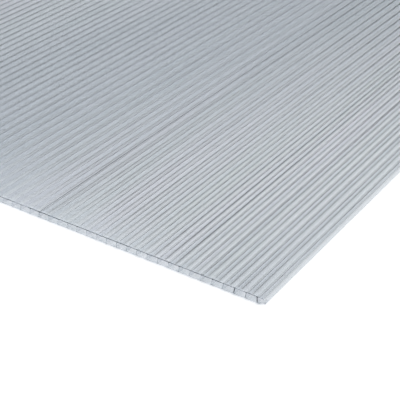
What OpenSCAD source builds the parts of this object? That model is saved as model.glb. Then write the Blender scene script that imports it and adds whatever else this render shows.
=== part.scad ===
// Twin-wall polycarbonate sheet: two thin skins joined by upright ribs, extruded in one piece.
// Both ends are sawn square, which shows the open flutes. Both sides are slit along a flute,
// so that the two skins stand out past the last rib as thin lips.
// The origin is the centre of the underside. X runs across the ribs, Y along them and Z up.

/* [Sheet] */
// Width of the sheet, across the ribs
sheet_w = 610; // [100:1:2100]
// Length of the sheet, along the ribs
sheet_l = 610; // [50:1:3000]
// Thickness of the sheet over both skins
sheet_t = 4; // [3:0.1:16]

/* [Walls] */
// Thickness of the upper skin
top_skin_t = 0.28; // [0.2:0.01:0.8]
// Thickness of the lower skin
bottom_skin_t = 0.28; // [0.2:0.01:0.8]
// Thickness of a rib
rib_t = 0.25; // [0.15:0.01:1]
// Spacing of the ribs, centre to centre
rib_pitch = 6; // [4:0.1:12]
// Radius where a rib runs into a skin
root_r = 0.3; // [0.1:0.01:0.6]

/* [Heavier rib] */
// Which rib came out of the die heavier, counted from the right side with the edge rib as 0
heavy_rib = 21; // [0:1:40]
// Thickness of that rib
heavy_rib_t = 0.5; // [0.15:0.01:1.2]

/* [Slit sides] */
// How far the skins run past the middle of the last rib on the right side
right_lip = 2.5; // [1.5:0.1:3.5]
// The least that they run past the middle of the last rib on the left side
least_left_lip = 1.2; // [1:0.1:2]

/* [Hidden] */
// Curves are drawn with this many sides
$fn = 48;
// How far a cut runs past the edge that it opens
overrun = 1;
right_side = sheet_w / 2;
left_side = -sheet_w / 2;
first_rib_x = right_side - right_lip;
last_rib = floor((sheet_w - right_lip - least_left_lip) / rib_pitch);
flute_floor = bottom_skin_t;
flute_roof = sheet_t - top_skin_t;

// Middle of a rib, counted from the right
function rib_x(i) = first_rib_x - i * rib_pitch;
// Half the thickness of a rib
function half_rib(i) = (i == heavy_rib ? heavy_rib_t : rib_t) / 2;

// The hollow between two ribs, with its four roots rounded
module flute(left_x, right_x) {
    width = right_x - left_x;
    height = flute_roof - flute_floor;
    translate([left_x, flute_floor]) {
        translate([root_r, 0]) square([width - 2 * root_r, height]);
        translate([0, root_r]) square([width, height - 2 * root_r]);
        for (x = [root_r, width - root_r], z = [root_r, height - root_r])
            translate([x, z]) circle(root_r);
    }
}

// What the die leaves between the skins, from side to side
module flutes() {
    flute(rib_x(0) + half_rib(0), right_side + root_r + overrun);
    for (i = [1 : last_rib])
        flute(rib_x(i) + half_rib(i), rib_x(i - 1) - half_rib(i - 1));
    flute(left_side - root_r - overrun, rib_x(last_rib) - half_rib(last_rib));
}

// The extruded section, with its thickness along the second axis
module section() {
    difference() {
        translate([left_side, 0]) square([sheet_w, sheet_t]);
        flutes();
    }
}

module twinwall_sheet() {
    color([0.80, 0.84, 0.87, 0.5])
        rotate([90, 0, 0])
            linear_extrude(height = sheet_l, center = true)
                section();
}

twinwall_sheet();
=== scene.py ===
# A twin-wall polycarbonate sheet, lying flat: a clear extruded section with sawn ends and slit sides.
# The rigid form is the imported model's. This script gives it the fine relief that the die, the cooling
# and the saw leave, and the look of clear polycarbonate. Lengths are in metres, from named millimetres.
import math
from collections import namedtuple

import bpy
from mathutils import Matrix, Vector, noise


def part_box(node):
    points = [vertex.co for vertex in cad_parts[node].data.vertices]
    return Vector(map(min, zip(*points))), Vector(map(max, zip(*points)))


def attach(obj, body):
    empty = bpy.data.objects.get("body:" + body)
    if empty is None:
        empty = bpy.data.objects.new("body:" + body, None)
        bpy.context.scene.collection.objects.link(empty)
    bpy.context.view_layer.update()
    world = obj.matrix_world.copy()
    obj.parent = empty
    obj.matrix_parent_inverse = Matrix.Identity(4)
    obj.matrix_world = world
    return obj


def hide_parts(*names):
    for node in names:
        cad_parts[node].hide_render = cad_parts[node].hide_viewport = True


MM = 0.001

# Section of the sheet, as it is extruded. Ribs are counted from the right, with the edge rib as 0.
RIB_PITCH = 6 * MM
RIGHT_LIP = 2.5 * MM
LEAST_LEFT_LIP = 1.2 * MM
SKIN = 0.28 * MM
RIB = 0.25 * MM
HEAVY_RIB = 21
HEAVY_RIB_THICKNESS = 0.5 * MM
# Faces of the two skins, from the top of the sheet down
ROWS = ("top", "roof", "floor", "bottom")

# Roots, where a rib runs into a skin: how far they reach along the skin and along the rib
ROOT_ALONG_SKIN = 0.6 * MM
ROOT_ALONG_RIB = 0.3 * MM
ARC_STEPS = 3
# Points drawn across a hollow, between its two roots
MID_POINTS = 3

# Fine relief: how far the skins sink between the ribs, and how much that varies from hollow to hollow
SINK = 0.05 * MM
SINK_LEVEL = 0.7
SINK_VARIATION = 0.6
LOWER_SKIN_SINK_SHARE = 0.6
# How far the ribs wander sideways, and over what length both this and the sinking change
WANDER = 0.08 * MM
WANDER_LENGTH = 160 * MM

# Where the section is drawn, measured from each sawn end: close together at the saw's bend and dull band
SAW_BEND = 1.3 * MM
DULL_REACH = 4.6 * MM
STATIONS_FROM_END = [0, SAW_BEND, DULL_REACH, 14 * MM, 30 * MM, 55 * MM, 95 * MM, 150 * MM, 220 * MM]
# How many spans between these stations are drawn dull
DULL_SPANS = 2

# Sawn ends: how far the edge is chipped back, and how long a chip is
SAW_CHIP = 0.3 * MM
CHIP_LENGTH = 1.3 * MM
# How far the saw dragged the rib ends sideways, at the top and at the foot, and the same for the edge rib
DRAGGED = {"roof": 0.5 * MM, "floor": 1.0 * MM}
EDGE_RIB_DRAGGED = {"roof": 0.8 * MM, "floor": 0.7 * MM}
# How far the faces of the skins moved up at the very edge: broken arrises and an inner burr
EDGE_LIFT = {"top": -0.22 * MM, "roof": -0.32 * MM, "floor": 0.1 * MM, "bottom": 0.22 * MM}
# How much thicker the saw left the darkest rib ends
RIB_END_BURR = 0.2 * MM
# The front corner of the lower right lip is broken off this far back
BROKEN_LIP = 2.3 * MM

# Painted shade on the sawn faces, from 0 to 1: the top skin, its bright parts, the rib ends and the rest
TOP_SKIN_CUT = 0.76
TOP_SKIN_CUT_VARIATION = 0.4
BRIGHT_CUT = 0.15
DARK_RIB_ENDS = {0: 1.0, 2: 1.0, 1: 0.5, 3: 0.4}
PLAIN_RIB_END = 0.06
PLAIN_CUT = 0.22
# Bright parts of the top skin's edge, with less painted shade: from and to, measured from the edge rib's
# middle
BRIGHT_EDGE = [(-11.0 * MM, -8.4 * MM), (-2.4 * MM, -0.75 * MM), (0.4 * MM, 3 * MM)]

# Painted fading of the root lines: near the sawn front their painted shade is made fainter. That reaches
# further in from rib to rib, and the lines are faintest at the front of this rib and all those beyond it.
FAINTEST_LINES_RIB = 26
FADE_LENGTH_LEAST = 4 * MM
FADE_LENGTH_PER_RIB = 1.8 * MM
STRONG_LINES_AT_END = 0.9
FAINT_LINES_AT_END = 0.06
# The heavier rib's painted line stays strong almost to the end: its strength is raised to this power
HEAVY_RIB_POWER = 0.25

# Painted shade of the upper and the lower roots: how strongly it shows, from 0 to 1 and beyond, at the
# ribs where it isn't 1. It differs from rib to rib.
UPPER_ROOT_SHADES = {
    0: 0.65, 1: 0.8, 4: 0.93, 5: 1.7, 6: 1.3, 7: 0.87, 9: 0.8, 12: 0.8, 15: 0.8, 16: 0.88, 17: 0.8,
    18: 0.73, 19: 0.7, 20: 0.85, HEAVY_RIB: 0.45, 22: 0.65, 23: 0.3, 24: 0.58, 25: 0.38, 26: 0.5,
    27: 0.55, 28: 0.37,
}
LOWER_ROOT_SHADES = {
    0: 0.3, 1: 0.88, 2: 0.8, 3: 1.1, 4: 0.92, 6: 0.72, 8: 1.7, 9: 1.85, 10: 1.45, 12: 1.15, 13: 1.2,
    15: 1.45, 17: 1.25, 19: 1.15, HEAVY_RIB: 0.9, 22: 0.85, 23: 1.15, 25: 0.82, 26: 0.68, 27: 0.85,
    28: 0.75,
}
# The same for all the ribs beyond this one
LAST_LISTED_ROOT = 28
FAR_UPPER_SHADE = 0.5
FAR_LOWER_SHADE = 0.6
# How strongly the painted shade line over the heavier rib shows
RIB_LINE_SHADE = 1.1
# How much the strength varies along a rib by chance, either way
ROOT_VARIATION = 0.24
# Between these distances from the front the painted shade of the upper roots fades by a share, and that of
# the lower roots grows at the right and fades further left
CHANGE_FROM = 70 * MM
CHANGE_TO = 190 * MM
UPPER_CHANGE = -0.2
LOWER_CHANGE = 0.6
LOWER_CHANGE_PER_RIB = -0.05
LEAST_LOWER_CHANGE = -0.3
# How much of its painted shade a root shows at each point of its curve, from the rib out along the skin. On
# the top of the sheet this is the painted shade line over the heavier rib.
ROOT_PROFILE = {
    "top": [0.5, 0, 0, 0],
    "roof": [1, 1, 0.7, 0.4],
    "floor": [0.5, 1, 0.75, 0.1],
    "bottom": [0, 0, 0, 0],
}
# Tilts away from the eye between which a root's painted shade goes from its head on to its edge on strength
HEAD_ON_TILT = 0.43
EDGE_ON_TILT = 0.53

# Painted shade for uneven light, in slow waves: where across the middle of the sheet it is clearest, how
# far sideways that place goes along the sheet, how far apart the clear places are, and the least and the
# most grey
LEAST_SHADE_X = 303.5 * MM
SHADE_WAVE_SLANT = 0.276
SHADE_WAVE_PERIOD = 330 * MM
LEAST_PAINTED_GREY = 0.02
MOST_PAINTED_GREY = 0.755
# Heights of the wave, between 1 and -1, at which the painted shade is least and most grey
CLEAR_WAVE = 0.95
GREY_WAVE = -0.75
# How much painted grey the places where the root lines fade add
FADED_PAINTED_GREY = 0.3

# Where each kind of chance is read in the noise, so that no two are alike
DRIFT_PER_RIB = 7.3
DRIFT_LAYER = 0.5
SINK_PER_METRE = 90
SINK_LAYER = 3.1
ROOT_PER_RIB = 3.7
UPPER_ROOT_LAYER = 11
LOWER_ROOT_LAYER = 29
FRONT_CHIP_LAYER = 0.0
BACK_CHIP_LAYER = 9.0
CUT_PER_METRE = 60
CUT_LAYER = 17.3

# Gloss of the outer skins: how strongly polycarbonate bends light, and how rough its surface is
REFRACTIVE_INDEX = 1.585
SCHLICK_POWER = 5.0
GLOSS_ROUGHNESS = 0.06

# Camera, from the reference view: focal length and sensor width in mm, heading, downward tilt, and its
# place, measured from the front end of the edge rib, just under the top skin
CAMERA_LENS = 97.45
SENSOR = 36.0
CAMERA_HEADING = math.radians(-33.771)
CAMERA_TILT = math.radians(31.644)
CAMERA_FROM_CORNER = Vector((190.70, -331.60, 285.19)) * MM

# Floor and lights, in metres and watts
FLOOR_GAP = 0.3 * MM
FLOOR_SIZE = 12.0
LAMP_SIZE = 2.0
LAMP_POWER = 48
LAMP_PLACE = (0.1, -0.2, 2.0)
# The direction in which the room is lighter, and where along it the dark and the light walls begin
LIGHT_SIDE = (1.0, 0.0, 0.5)
DARK_UP_TO = -0.5
LIGHT_FROM = 0.15

# Materials, in the order of the sheet's slots
OUTER_SKIN, INNER_SKIN, RIB_FACE, UPPER_ROOT, LOWER_ROOT, PAINTED_RIB_LINE, DULL_END, CUT_FACE = range(8)
# Sockets of a colour mix: its share, its two colours and its result
SHARE, FIRST, SECOND = 0, 6, 7
MIXED = 2

# A point across a hollow: its x, how far a root stands out there, whose root that is, and which step of
# the root's curve it is
Point = namedtuple("Point", "x stand rib step")


def linear(hex_colour):
    """An sRGB hex colour as linear RGBA."""
    channels = [int(hex_colour[i : i + 2], 16) / 255 for i in (1, 3, 5)]
    return [c / 12.92 if c <= 0.04045 else ((c + 0.055) / 1.055) ** 2.4 for c in channels] + [1.0]


def add(tree, kind, inputs=None, **settings):
    """Adds a node with its settings. Inputs are plain values, or outputs to link from."""
    node = tree.nodes.new(kind)
    for name, value in settings.items():
        setattr(node, name, value)
    for name, value in (inputs or {}).items():
        if isinstance(value, bpy.types.NodeSocket):
            tree.links.new(value, node.inputs[name])
        else:
            node.inputs[name].default_value = value
    return node


def new_material(name):
    """An empty node material and its tree."""
    material = bpy.data.materials.new(name)
    material.use_nodes = True
    material.node_tree.nodes.clear()
    return material, material.node_tree


def gloss_share(tree):
    """How much a skin mirrors at each angle, more towards edge on: Schlick's form, for both its faces."""
    head_on = 2 * ((REFRACTIVE_INDEX - 1) / (REFRACTIVE_INDEX + 1)) ** 2
    facing = add(tree, "ShaderNodeLayerWeight", {"Blend": 0.5}).outputs["Facing"]
    rise = add(tree, "ShaderNodeMath", {0: facing, 1: SCHLICK_POWER}, operation="POWER").outputs[0]
    share = add(tree, "ShaderNodeMapRange", {"Value": rise, "To Min": head_on, "To Max": 1.0})
    return share.outputs["Result"]


def clear_wall(tree, passed, haze, haze_share, mirrored=None):
    """A thin clear wall: what it passes, a faint haze, and on the outside a gloss that mirrors the room."""
    through = add(tree, "ShaderNodeBsdfTransparent", {"Color": passed}).outputs[0]
    milk = add(tree, "ShaderNodeBsdfDiffuse", {"Color": haze}).outputs[0]
    wall = add(tree, "ShaderNodeMixShader", {0: haze_share, 1: through, 2: milk}).outputs[0]
    if mirrored:
        mirror = {"Color": linear("#ffffff"), "Roughness": GLOSS_ROUGHNESS}
        gloss = add(tree, "ShaderNodeBsdfAnisotropic", mirror).outputs[0]
        wall = add(tree, "ShaderNodeMixShader", {0: mirrored, 1: wall, 2: gloss}).outputs[0]
    add(tree, "ShaderNodeOutputMaterial", {"Surface": wall})


def patches(tree, across, along, low, high):
    """Soft patches of the given sizes across and along the ribs, from 0 where the noise is at its low limit
    to 1 where it is at its high limit."""
    where = add(tree, "ShaderNodeTexCoord").outputs["Object"]
    sizes = {"Vector": where, "Scale": (1 / across, 1 / along, 1 / across)}
    stretched = add(tree, "ShaderNodeMapping", sizes).outputs[0]
    cloud = add(tree, "ShaderNodeTexNoise", {"Vector": stretched, "Scale": 1.0, "Detail": 1.0})
    spread = {"Value": cloud.outputs["Fac"], "From Min": low, "From Max": high}
    return add(tree, "ShaderNodeMapRange", spread).outputs["Result"]


def painted_shade_wave(tree):
    """Painted shade for uneven light: how grey each place across the sheet is made, in slow waves."""
    where = add(tree, "ShaderNodeTexCoord").outputs["Object"]
    direction = {0: where, 1: (1.0, -SHADE_WAVE_SLANT, 0.0)}
    across = add(tree, "ShaderNodeVectorMath", direction, operation="DOT_PRODUCT").outputs["Value"]
    turns = {0: across, 1: 2 * math.pi / SHADE_WAVE_PERIOD, 2: -2 * math.pi * LEAST_SHADE_X / SHADE_WAVE_PERIOD}
    angle = add(tree, "ShaderNodeMath", turns, operation="MULTIPLY_ADD").outputs[0]
    wave = add(tree, "ShaderNodeMath", {0: angle}, operation="COSINE").outputs[0]
    grey = {
        "Value": wave,
        "From Min": CLEAR_WAVE,
        "From Max": GREY_WAVE,
        "To Min": LEAST_PAINTED_GREY,
        "To Max": MOST_PAINTED_GREY,
    }
    return add(tree, "ShaderNodeMapRange", grey).outputs["Result"]


def polycarbonate_skin(name, glossy):
    """Clear extruded polycarbonate skin, rolled smooth. It is nearly colourless, in places faintly warm or
    cool, and painted shade greys it slowly across the sheet and where the painted root lines fade."""
    material, tree = new_material(name)
    tone = patches(tree, across=22 * MM, along=260 * MM, low=0.1, high=0.9)
    tints = {SHARE: tone, FIRST: linear("#fdfdfe"), SECOND: linear("#fcfdfd")}
    clear = add(tree, "ShaderNodeMix", tints, data_type="RGBA").outputs[MIXED]
    softness = add(tree, "ShaderNodeAttribute", attribute_name="softness").outputs["Fac"]
    faded_grey = {0: softness, 1: FADED_PAINTED_GREY, 2: painted_shade_wave(tree)}
    grey = add(tree, "ShaderNodeMath", faded_grey, operation="MULTIPLY_ADD").outputs[0]
    shades = {SHARE: grey, FIRST: clear, SECOND: linear("#f8f9fa")}
    passed = add(tree, "ShaderNodeMix", shades, data_type="RGBA").outputs[MIXED]
    mirrored = gloss_share(tree) if glossy else None
    clear_wall(tree, passed, haze=linear("#ccd1d6"), haze_share=0.012, mirrored=mirrored)
    return material


def polycarbonate_rib():
    """Clear polycarbonate rib, duller than the skins because no roller polished it: faint grey streaks."""
    material, tree = new_material("clear_polycarbonate_rib")
    tone = patches(tree, across=9 * MM, along=90 * MM, low=0.3, high=0.7)
    tints = {SHARE: tone, FIRST: linear("#f7f8f9"), SECOND: linear("#fafafb")}
    passed = add(tree, "ShaderNodeMix", tints, data_type="RGBA").outputs[MIXED]
    clear_wall(tree, passed, haze=linear("#c2c7cc"), haze_share=0.02)
    return material


def root_wall(name, head_on, edge_on):
    """The rounded root of a rib. The light that it turns aside is painted on as a grey line, darker where
    the root's painted shade is stronger. The two shares say how clear a root at full shade is, seen head on
    and edge on."""
    material, tree = new_material(name)
    depth = add(tree, "ShaderNodeAttribute", attribute_name="painted_root_shade").outputs["Fac"]
    facing = add(tree, "ShaderNodeLayerWeight", {"Blend": 0.5}).outputs["Facing"]
    tilts = {
        "Value": facing,
        "From Min": HEAD_ON_TILT,
        "From Max": EDGE_ON_TILT,
        "To Min": head_on,
        "To Max": edge_on,
    }
    base = add(tree, "ShaderNodeMapRange", tilts).outputs["Result"]
    clearness = add(tree, "ShaderNodeMath", {0: base, 1: depth}, operation="POWER").outputs[0]
    shades = {SHARE: clearness, FIRST: linear("#3a4046"), SECOND: linear("#fafbfb")}
    passed = add(tree, "ShaderNodeMix", shades, data_type="RGBA").outputs[MIXED]
    clear_wall(tree, passed, haze=linear("#aab0b6"), haze_share=0.02)
    return material


def dull_end_polycarbonate():
    """Polycarbonate just inside the sawn end, and the skins' faces right at it: a dull pale grey with small
    clear spots."""
    material, tree = new_material("dull_end_polycarbonate")
    specks = patches(tree, across=2.5 * MM, along=2 * MM, low=0.3, high=0.7)
    shades = {SHARE: specks, FIRST: linear("#f0f2f4"), SECOND: linear("#fdfdfe")}
    passed = add(tree, "ShaderNodeMix", shades, data_type="RGBA").outputs[MIXED]
    clear_wall(tree, passed, haze=linear("#d8dcdf"), haze_share=0.1)
    return material


def sawn_polycarbonate():
    """Polycarbonate cut by a saw: a frosted, chipped face, with painted shade for the grey of a wall edge
    on.
    """
    material, tree = new_material("sawn_polycarbonate")
    chips = patches(tree, across=0.6 * MM, along=0.6 * MM, low=0.35, high=0.65)
    frost = {SHARE: chips, FIRST: linear("#c4cacf"), SECOND: linear("#e6eaed")}
    pale = add(tree, "ShaderNodeMix", frost, data_type="RGBA").outputs[MIXED]
    shade = add(tree, "ShaderNodeAttribute", attribute_name="cut_shade").outputs["Fac"]
    darkened = {SHARE: shade, FIRST: pale, SECOND: linear("#3c444b")}
    passed = add(tree, "ShaderNodeMix", darkened, data_type="RGBA").outputs[MIXED]
    greyed = {SHARE: shade, FIRST: linear("#c4ccd2"), SECOND: linear("#4c535a")}
    haze = add(tree, "ShaderNodeMix", greyed, data_type="RGBA").outputs[MIXED]
    clear_wall(tree, passed, haze, haze_share=0.4)
    return material


def floor_material():
    """A matt white floor."""
    material, tree = new_material("matt_white_floor")
    paint = add(tree, "ShaderNodeBsdfDiffuse", {"Color": linear("#f6f6f6")}).outputs[0]
    add(tree, "ShaderNodeOutputMaterial", {"Surface": paint})
    return material


class Rib:
    """One rib: its number from the right, its middle, half its thickness and if the saw could bend it."""

    def __init__(self, x, index, has_room):
        self.index = index
        self.x = x
        self.has_room = has_room
        self.half = (HEAVY_RIB_THICKNESS if index == HEAVY_RIB else RIB) / 2

    def drift(self, y):
        """How far the rib has wandered sideways at y."""
        return WANDER * noise.noise(Vector((self.index * DRIFT_PER_RIB, y / WANDER_LENGTH, DRIFT_LAYER)))

    def painted_line_strength(self, from_front):
        """How strongly its painted root shade shows at a distance from the sawn front, from 0 to 1."""
        leftness = min(self.index / FAINTEST_LINES_RIB, 1)
        start = STRONG_LINES_AT_END + (FAINT_LINES_AT_END - STRONG_LINES_AT_END) * leftness
        fade_length = FADE_LENGTH_LEAST + FADE_LENGTH_PER_RIB * self.index
        return (start + (1 - start) * min(from_front / fade_length, 1)) ** 2

    def painted_root_shade(self, row, from_front):
        """How strongly the painted shade of its root shows in a row at a distance from the sawn front."""
        if row == "floor":
            painted_shades, far, layer = LOWER_ROOT_SHADES, FAR_LOWER_SHADE, LOWER_ROOT_LAYER
            change = max(LOWER_CHANGE + LOWER_CHANGE_PER_RIB * self.index, LEAST_LOWER_CHANGE)
        else:
            painted_shades, far, layer = UPPER_ROOT_SHADES, FAR_UPPER_SHADE, UPPER_ROOT_LAYER
            change = UPPER_CHANGE
        level = far if self.index > LAST_LISTED_ROOT else painted_shades.get(self.index, 1.0)
        if row == "top":
            level = RIB_LINE_SHADE
        chance = noise.noise(Vector((self.index * ROOT_PER_RIB, from_front / WANDER_LENGTH, layer)))
        along = min(max((from_front - CHANGE_FROM) / (CHANGE_TO - CHANGE_FROM), 0), 1)
        painted_line_strength = self.painted_line_strength(from_front) ** (HEAVY_RIB_POWER if self.index == HEAVY_RIB else 1)
        return painted_line_strength * level * (1 + change * along) * (1 + ROOT_VARIATION * chance)


class Hollow:
    """One hollow of the section: the ribs beside it, and the points across its roof and its floor."""

    def __init__(self, left_rib, right_rib, low, high):
        self.left_rib = left_rib
        self.right_rib = right_rib
        self.points = self.outline(low.x, high.x)
        self.left = self.points[0].x
        self.right = self.points[-1].x

    def outline(self, low_x, high_x):
        """Points across the hollow, from left to right."""
        head = root_curve(self.left_rib, 1) if self.left_rib else [Point(low_x, 0, None, 0)]
        tail = root_curve(self.right_rib, -1)[::-1] if self.right_rib else [Point(high_x, 0, None, 0)]
        start, end = head[-1].x, tail[0].x
        xs = [start + (end - start) * step / (MID_POINTS + 1) for step in range(1, MID_POINTS + 1)]
        return head + [Point(x, 0, None, 0) for x in xs] + tail

    def share(self, x):
        """How far across the hollow x is, from 0 to 1."""
        return (x - self.left) / (self.right - self.left)

    def drift(self, x, y):
        """How far a point at x has moved sideways with the ribs beside it."""
        share = self.share(x)
        left_drift = self.left_rib.drift(y) if self.left_rib else 0.0
        right_drift = self.right_rib.drift(y) if self.right_rib else 0.0
        return left_drift * (1 - share) + right_drift * share

    def sunk(self, x, y):
        """How far the skins have sunk at x. The lips past the last ribs stay flat."""
        if not (self.left_rib and self.right_rib):
            return 0.0
        chance = noise.noise(Vector((self.left * SINK_PER_METRE, y / WANDER_LENGTH, SINK_LAYER)))
        depth = max(SINK_LEVEL + SINK_VARIATION * chance, 0)
        return SINK * depth * math.sin(math.pi * self.share(x)) ** 2


def root_curve(rib, towards):
    """Points of a root, from the rib's face out along the skin."""
    points = []
    for step in range(ARC_STEPS + 1):
        angle = math.pi / 2 * step / ARC_STEPS
        x = rib.x + towards * (rib.half + ROOT_ALONG_SKIN * (1 - math.cos(angle)))
        points.append(Point(x, ROOT_ALONG_RIB * (1 - math.sin(angle)), rib, step))
    return points


def rib_row(low, high):
    """The ribs from left to right."""
    first = high.x - RIGHT_LIP
    last = math.floor((high.x - low.x - RIGHT_LIP - LEAST_LEFT_LIP) / RIB_PITCH)
    return [Rib(first - i * RIB_PITCH, i, i < last) for i in range(last, -1, -1)]


def stations(low, high):
    """Places along the sheet where the section is drawn, closer together by the sawn ends."""
    from_front = [low.y + step for step in STATIONS_FROM_END]
    from_back = [high.y - step for step in reversed(STATIONS_FROM_END)]
    return from_front + [(low.y + high.y) / 2] + from_back


def height(row, point, sunk, low, high):
    """How high a point of the section lies in a row, before the saw."""
    if row == "top":
        return high.z - sunk
    if row == "roof":
        return high.z - SKIN - point.stand - sunk
    if row == "floor":
        return low.z + SKIN + point.stand + sunk * LOWER_SKIN_SINK_SHARE
    return low.z + sunk * LOWER_SKIN_SINK_SHARE


def sawn(hollow, point, row, z, front):
    """How far the saw moved a point at the sheet's end: sideways, inwards and up."""
    sideways = 0.0
    if point.rib and point.rib.has_room:
        dragged = DRAGGED if point.rib.index else EDGE_RIB_DRAGGED
        sideways = -dragged.get(row, 0.0)
        if point.rib is hollow.right_rib:
            sideways -= RIB_END_BURR * DARK_RIB_ENDS.get(point.rib.index, 0.0)
    layer = FRONT_CHIP_LAYER if front else BACK_CHIP_LAYER
    inwards = SAW_CHIP * max(noise.noise(Vector((point.x / CHIP_LENGTH, z / CHIP_LENGTH, layer))), 0)
    if front and row in ("floor", "bottom") and not hollow.right_rib:
        inwards += BROKEN_LIP * hollow.share(point.x)
    return sideways, inwards, EDGE_LIFT[row]


def cut_shade(row, rib, x, edge_rib_x):
    """Painted shade of the sawn face: dark at the top skin, but for its bright parts, and at a few ribs."""
    if row == "top":
        if any(start <= x - edge_rib_x <= end for start, end in BRIGHT_EDGE):
            return BRIGHT_CUT
        chance = noise.noise(Vector((x * CUT_PER_METRE, 0, CUT_LAYER)))
        return min(TOP_SKIN_CUT + TOP_SKIN_CUT_VARIATION * chance, 1.0)
    if rib and row == "roof":
        return DARK_RIB_ENDS.get(rib.index, PLAIN_RIB_END)
    return PLAIN_CUT


class Section:
    """The sheet's section: its ribs, its hollows, and its points in the order that the mesh has them."""

    def __init__(self, low, high):
        self.low = low
        self.high = high
        self.ribs = rib_row(low, high)
        beside = zip([None] + self.ribs, self.ribs + [None])
        self.hollows = [Hollow(left, right, low, high) for left, right in beside]
        # A point's key is the number of its hollow, its place across the hollow and its row
        self.keys = [
            (h, k, row)
            for h, hollow in enumerate(self.hollows)
            for k in range(len(hollow.points))
            for row in ROWS
        ]

    def points_at(self, y, front, back):
        """Each point's place at a station, how far its painted root lines fade and its painted root shade.
        """
        from_front = y - self.low.y
        for h, k, row in self.keys:
            hollow = self.hollows[h]
            point = hollow.points[k]
            z = height(row, point, hollow.sunk(point.x, y), self.low, self.high)
            sideways, inwards, up = 0.0, 0.0, 0.0
            if front or back:
                sideways, inwards, up = sawn(hollow, point, row, z, front)
            place = (
                point.x + hollow.drift(point.x, y) + sideways,
                y + inwards if front else y - inwards,
                z + up,
            )
            nearest = hollow.right_rib or hollow.left_rib
            # How strongly the root's painted shade shows at this point
            depth = 0.0
            if point.rib:
                depth = point.rib.painted_root_shade(row, from_front) * ROOT_PROFILE[row][point.step]
            yield place, 1 - nearest.painted_line_strength(from_front), depth

    def walls(self):
        """Pieces that the section is made of: the two places that each joins, and its two rows."""
        pieces = []
        for h, hollow in enumerate(self.hollows):
            last = len(hollow.points) - 1
            for k in range(last):
                pieces.append(((h, k), (h, k + 1), "top", "roof"))
                pieces.append(((h, k), (h, k + 1), "floor", "bottom"))
            if h < len(self.ribs):
                for upper, lower in zip(ROWS, ROWS[1:]):
                    pieces.append(((h, last), (h + 1, 0), upper, lower))
        return pieces

    def slot(self, a, b, spans_from_end):
        """The material of the wall that runs along the sheet from point a of the section to point b."""
        (hollow_a, place_a, row), (hollow_b, place_b, row_b) = self.keys[a], self.keys[b]
        if {row, row_b} == {"roof", "floor"}:
            return RIB_FACE
        if row != row_b:
            return CUT_FACE
        owner = self.hollows[hollow_a].points[place_a].rib
        # The top skin over the heavier rib gets a painted shade line
        if row == "top" and hollow_a != hollow_b and owner.index == HEAVY_RIB:
            return PAINTED_RIB_LINE
        if row in ("top", "bottom"):
            return OUTER_SKIN if spans_from_end else DULL_END
        if row == "floor" and spans_from_end < DULL_SPANS:
            return DULL_END
        if owner and owner is self.hollows[hollow_b].points[place_b].rib:
            return UPPER_ROOT if row == "roof" else LOWER_ROOT
        return INNER_SKIN


def sheet_mesh(low, high):
    """The sheet's section with its fine relief, drawn at each station and joined along the sheet."""
    section = Section(low, high)
    ys = stations(low, high)
    spans = len(ys) - 1
    per_station = len(section.keys)

    verts, softness, painted_shades = [], [], []
    for s, y in enumerate(ys):
        # soft is how far the painted root lines fade there, depth the painted root shade
        for place, soft, depth in section.points_at(y, s == 0, s == spans):
            verts.append(place)
            softness.append(soft)
            painted_shades.append(depth)

    number = {key: n for n, key in enumerate(section.keys)}
    faces, slots, cut_shades, quads = [], [], [], []
    for a, b, upper, lower in section.walls():
        quad = tuple(number[key] for key in ((*a, upper), (*a, lower), (*b, lower), (*b, upper)))
        quads.append(quad)
        faces += [quad, tuple(n + spans * per_station for n in reversed(quad))]
        slots += [CUT_FACE] * 2
        rib = section.ribs[a[0]] if b[0] > a[0] else None
        middle = sum(section.hollows[h].points[k].x for h, k in (a, b)) / 2
        cut_shades += [cut_shade(upper, rib, middle, section.ribs[-1].x)] * 2

    sides = {side for quad in quads for side in zip(quad, quad[1:] + quad[:1])}
    outline = sorted((a, b) for a, b in sides if (b, a) not in sides)
    for a, b in outline:
        for s in range(spans):
            near, far = s * per_station, (s + 1) * per_station
            faces.append((b + near, a + near, a + far, b + far))
            slots.append(section.slot(a, b, min(s, spans - 1 - s)))
            cut_shades.append(0.0)

    mesh = bpy.data.meshes.new("twinwall_sheet_relief")
    mesh.from_pydata(verts, [], faces)
    mesh.polygons.foreach_set("material_index", slots)
    mesh.attributes.new("painted_root_shade", "FLOAT", "POINT").data.foreach_set("value", painted_shades)
    mesh.attributes.new("softness", "FLOAT", "POINT").data.foreach_set("value", softness)
    mesh.attributes.new("cut_shade", "FLOAT", "FACE").data.foreach_set("value", cut_shades)
    mesh.update()
    mesh.validate()
    return mesh


def make_sheet():
    """The visible sheet, in place of the plain solid."""
    low, high = (Vector(corner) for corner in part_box("twinwall_sheet"))
    sheet = bpy.data.objects.new("twinwall_sheet_finished", sheet_mesh(low, high))
    bpy.context.collection.objects.link(sheet)
    for material in (
        polycarbonate_skin("clear_polycarbonate_outer_skin", glossy=True),
        polycarbonate_skin("clear_polycarbonate_inner_skin", glossy=False),
        polycarbonate_rib(),
        root_wall("clear_polycarbonate_upper_root", head_on=0.65, edge_on=0.03),
        root_wall("clear_polycarbonate_lower_root", head_on=0.56, edge_on=1.0),
        root_wall("clear_polycarbonate_painted_rib_line", head_on=0.07, edge_on=0.07),
        dull_end_polycarbonate(),
        sawn_polycarbonate(),
    ):
        sheet.data.materials.append(material)
    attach(sheet, "root")
    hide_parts("twinwall_sheet")
    return low, high


def make_floor():
    """A plain white floor just under the sheet."""
    mesh = bpy.data.meshes.new("floor")
    half = FLOOR_SIZE / 2
    corners = [(-half, -half), (half, -half), (half, half), (-half, half)]
    mesh.from_pydata([(x, y, -FLOOR_GAP) for x, y in corners], [], [(0, 1, 2, 3)])
    mesh.materials.append(floor_material())
    floor = bpy.data.objects.new("floor", mesh)
    bpy.context.collection.objects.link(floor)


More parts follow.
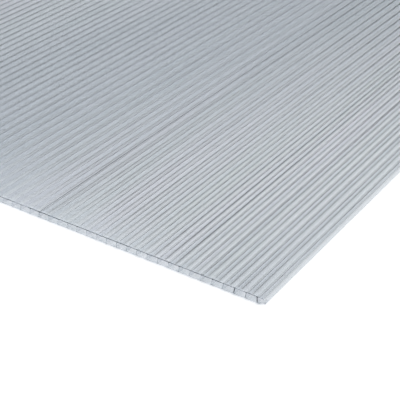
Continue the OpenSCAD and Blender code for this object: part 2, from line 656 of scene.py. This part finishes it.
def make_lights():
    """A soft grey room, lighter at the right, and one broad lamp overhead."""
    world = bpy.data.worlds.new("soft_room")
    bpy.context.scene.world = world
    world.use_nodes = True
    room = world.node_tree
    look = add(room, "ShaderNodeTexCoord").outputs["Generated"]
    towards = {0: look, 1: LIGHT_SIDE}
    lightness = add(room, "ShaderNodeVectorMath", towards, operation="DOT_PRODUCT").outputs["Value"]
    reach = {"Value": lightness, "From Min": DARK_UP_TO, "From Max": LIGHT_FROM}
    side = add(room, "ShaderNodeMapRange", reach).outputs["Result"]
    shades = {SHARE: side, FIRST: linear("#616367"), SECOND: linear("#a4a7aa")}
    walls = add(room, "ShaderNodeMix", shades, data_type="RGBA").outputs[MIXED]
    room.links.new(walls, room.nodes["Background"].inputs["Color"])
    lamp = bpy.data.lights.new("overhead_softbox", "AREA")
    lamp.shape = "SQUARE"
    lamp.size = LAMP_SIZE
    lamp.energy = LAMP_POWER
    softbox = bpy.data.objects.new("overhead_softbox", lamp)
    softbox.location = LAMP_PLACE
    # The sheet doesn't mirror the lamp, whose glare would hide it when it is seen from above
    softbox.visible_glossy = False
    bpy.context.collection.objects.link(softbox)


def make_camera(low, high):
    """The reference view: from beyond the near right corner, looking down across the sheet."""
    yaw, tilt = CAMERA_HEADING, CAMERA_TILT
    forward = Vector((math.sin(yaw) * math.cos(tilt), math.cos(yaw) * math.cos(tilt), -math.sin(tilt)))
    right = Vector((math.cos(yaw), -math.sin(yaw), 0))
    up = right.cross(forward)
    corner = Vector((high.x - RIGHT_LIP, low.y, high.z - SKIN))
    data = bpy.data.cameras.new("reference_view")
    data.lens = CAMERA_LENS
    data.sensor_width = SENSOR
    camera = bpy.data.objects.new("reference_view", data)
    turn = Matrix((right, up, -forward)).transposed().to_4x4()
    camera.matrix_world = Matrix.Translation(corner + CAMERA_FROM_CORNER) @ turn
    bpy.context.collection.objects.link(camera)
    bpy.context.scene.camera = camera


def set_light_paths():
    """Lets light cross the many clear walls that a slanting view meets, and shows colours as they are."""
    scene = bpy.context.scene
    scene.view_settings.view_transform = "Standard"
    scene.cycles.max_bounces = 16
    scene.cycles.glossy_bounces = 8
    scene.cycles.transparent_max_bounces = 96


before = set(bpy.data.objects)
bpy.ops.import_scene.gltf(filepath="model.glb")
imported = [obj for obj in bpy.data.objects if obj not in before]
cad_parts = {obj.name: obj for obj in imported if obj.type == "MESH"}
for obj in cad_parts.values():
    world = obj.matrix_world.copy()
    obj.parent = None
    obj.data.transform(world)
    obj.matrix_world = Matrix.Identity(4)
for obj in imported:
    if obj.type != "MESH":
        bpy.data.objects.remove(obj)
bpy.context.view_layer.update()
sheet_low, sheet_high = make_sheet()
make_floor()
make_lights()
make_camera(sheet_low, sheet_high)
set_light_paths()
